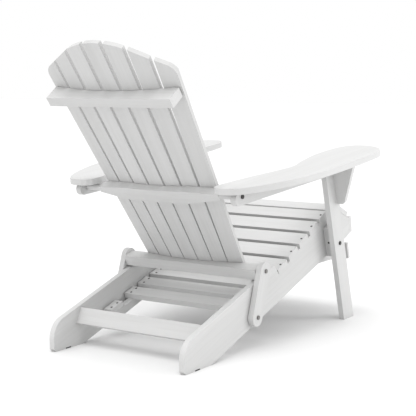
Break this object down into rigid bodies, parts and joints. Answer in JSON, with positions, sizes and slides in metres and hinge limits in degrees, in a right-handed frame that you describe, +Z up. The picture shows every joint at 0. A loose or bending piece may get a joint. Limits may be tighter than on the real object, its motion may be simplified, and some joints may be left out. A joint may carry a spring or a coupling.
{
  "type": "adirondack chair",
  "caption": "Folding slatted adirondack chair with wide armrests, a fan back with an arched top and a pull-out slatted footrest.",
  "frame": {"origin": "on the floor, at the middle of the chair's outline in plan", "axes": "+Z up, -Y the way the chair faces, +X the sitter's left"},
  "size_m": [0.8442, 1.1662, 0.9265],
  "materials": {
    "painted_wood": "satin white paint",
    "dark_steel": "blackened steel",
    "black_plastic": "moulded plastic"
  },
  "bodies": {
    "seat_frame": {"side_rail_left": "painted_wood", "side_rail_right": "painted_wood", "rear_stretcher": "painted_wood", "seat_slat_1": "painted_wood", "seat_slat_2": "painted_wood", "seat_slat_3": "painted_wood", "seat_slat_4": "painted_wood", "seat_slat_5": "painted_wood", "seat_slat_6": "painted_wood", "nose_slat_upper": "painted_wood", "nose_slat_front": "painted_wood", "footrest_guide_left": "painted_wood", "footrest_guide_right": "painted_wood", "heel_glides": "black_plastic", "seat_screws": "dark_steel"},
    "arm_frame": {"front_leg_left": "painted_wood", "front_leg_right": "painted_wood", "leg_spacer_left": "painted_wood", "leg_spacer_right": "painted_wood", "arm_rail_left": "painted_wood", "arm_rail_right": "painted_wood", "armrest_left": "painted_wood", "armrest_right": "painted_wood", "arm_bracket_left": "painted_wood", "arm_bracket_right": "painted_wood", "leg_pivot_bolts": "dark_steel", "arm_pivot_bolts": "dark_steel", "arm_screws": "dark_steel"},
    "links": {"link_left": "painted_wood", "link_right": "painted_wood", "lower_link_bolts": "dark_steel", "upper_link_bolts": "dark_steel"},
    "back": {"back_slat_1": "painted_wood", "back_slat_2": "painted_wood", "back_slat_3": "painted_wood", "back_slat_4": "painted_wood", "back_slat_5": "painted_wood", "back_slat_6": "painted_wood", "back_slat_7": "painted_wood", "lower_back_rail": "painted_wood", "middle_back_rail": "painted_wood", "top_back_rail": "painted_wood", "back_screws": "dark_steel"},
    "footrest": {"footrest_rail_left": "painted_wood", "footrest_rail_right": "painted_wood", "footrest_slat_1": "painted_wood", "footrest_slat_2": "painted_wood", "footrest_slat_3": "painted_wood", "footrest_slat_4": "painted_wood", "footrest_slat_5": "painted_wood", "footrest_slat_6": "painted_wood", "footrest_slat_7": "painted_wood", "footrest_slat_8": "painted_wood", "footrest_slat_9": "painted_wood", "footrest_slat_10": "painted_wood", "footrest_front_slat": "painted_wood", "footrest_centre_support": "painted_wood", "footrest_block_left": "painted_wood", "footrest_block_right": "painted_wood", "footrest_screws": "dark_steel"}
  },
  "joints": [
    {"name": "fold", "type": "hinge", "parent": "seat_frame", "child": "links", "pos_m": [0, 0.12646, 0.101], "axis": [-1, 0, 0], "range_deg": [0, 16]},
    {"name": "arm_fold", "type": "hinge", "parent": "seat_frame", "child": "arm_frame", "pos_m": [0, -0.36154, 0.271], "axis": [1, 0, 0], "range_deg": [0, 4.14]},
    {"name": "back_fold", "type": "hinge", "parent": "links", "child": "back", "pos_m": [0, 0.08146, 0.237], "axis": [1, 0, 0], "range_deg": [0, 28.32]},
    {"name": "footrest_slide", "type": "slide", "parent": "seat_frame", "child": "footrest", "axis": [0, -1, 0], "range_m": [0, 0.38]}
  ],
  "couplings": [
    {"joint": "arm_fold", "follows": "fold", "ratio": 0.246},
    {"joint": "back_fold", "follows": "fold", "ratio": 1.751}
  ]
}
